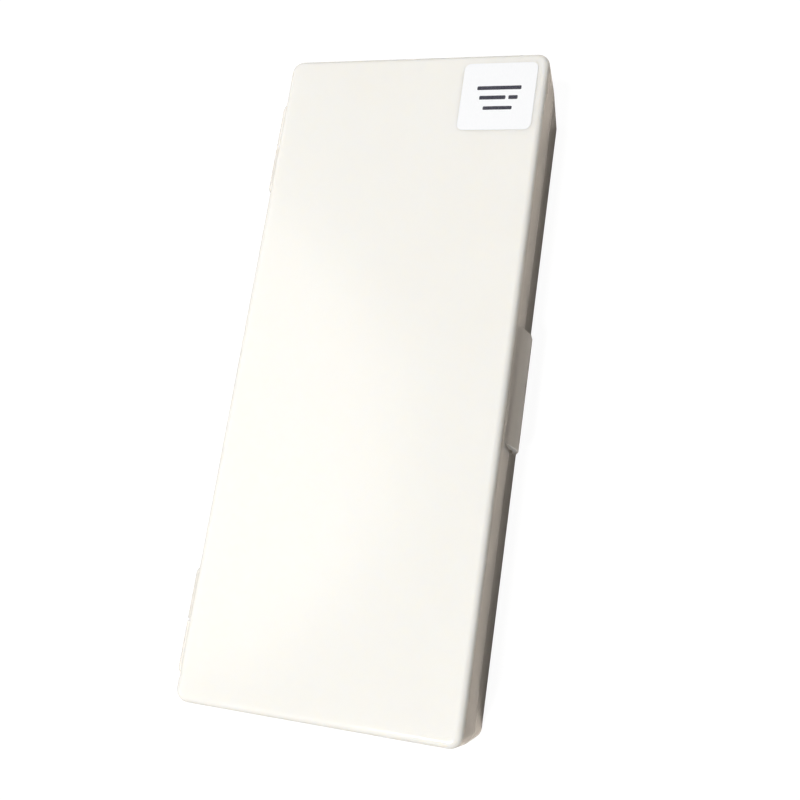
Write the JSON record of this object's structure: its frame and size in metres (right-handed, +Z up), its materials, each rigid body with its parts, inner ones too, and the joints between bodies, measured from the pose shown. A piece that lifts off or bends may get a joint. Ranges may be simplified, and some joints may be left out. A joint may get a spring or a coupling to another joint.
{
  "type": "microscope slide box",
  "caption": "Long shallow hinged plastic box with a flat lid, a front latch flap and a corner sticker, holding glass slides on edge in moulded slots.",
  "frame": {"origin": "middle of the flat underside of the base tray, where the box stands on a table", "axes": "+X along the length towards the end with the sticker on the lid, +Y towards the hinges, -Y towards the latch, +Z up"},
  "size_m": [0.207, 0.0949, 0.0351],
  "materials": {
    "moulded_plastic": "smooth moulded polypropylene, satin",
    "pin_steel": "drawn wire",
    "slide_glass": "clear, with cut edges",
    "cover_glass": "clear",
    "stained_specimen": "thin stained section in mounting resin",
    "label_paper": "uncoated",
    "sticker_paper": "smooth white",
    "index_card_paper": "uncoated card"
  },
  "bodies": {
    "base": {"base_tray": "moulded_plastic", "hinge_pin_far": "pin_steel", "hinge_pin_near": "pin_steel", "slide_01": "slide_glass", "slide_02": "slide_glass", "slide_03": "slide_glass", "slide_04": "slide_glass", "slide_05": "slide_glass", "slide_06": "slide_glass", "slide_07": "slide_glass", "slide_08": "slide_glass", "slide_09": "slide_glass", "slide_10": "slide_glass", "slide_11": "slide_glass", "slide_12": "slide_glass", "slide_13": "slide_glass", "slide_14": "slide_glass", "slide_15": "slide_glass", "slide_16": "slide_glass", "slide_17": "slide_glass", "slide_18": "slide_glass", "slide_19": "slide_glass", "slide_20": "slide_glass", "slide_21": "slide_glass", "slide_22": "slide_glass", "slide_23": "slide_glass", "slide_24": "slide_glass", "slide_25": "slide_glass", "slide_26": "slide_glass", "slide_27": "slide_glass", "slide_28": "slide_glass", "slide_29": "slide_glass", "slide_30": "slide_glass", "slide_31": "slide_glass", "slide_32": "slide_glass", "slide_33": "slide_glass", "slide_34": "slide_glass", "slide_35": "slide_glass", "slide_36": "slide_glass", "slide_37": "slide_glass", "slide_38": "slide_glass", "slide_39": "slide_glass", "slide_40": "slide_glass", "slide_41": "slide_glass", "slide_42": "slide_glass", "slide_43": "slide_glass", "slide_44": "slide_glass", "slide_45": "slide_glass", "slide_46": "slide_glass", "slide_47": "slide_glass", "slide_48": "slide_glass", "slide_49": "slide_glass", "slide_50": "slide_glass", "cover_slips": "cover_glass", "specimens": "stained_specimen", "slide_labels": "label_paper"},
    "lid": {"lid": "moulded_plastic", "box_label": "sticker_paper", "index_card": "index_card_paper"}
  },
  "joints": [
    {"name": "lid_hinge", "type": "hinge", "parent": "base", "child": "lid", "pos_m": [0, 0.0466, 0.0195], "axis": [-1, 0, 0], "range_deg": [0, 182.5]}
  ]
}
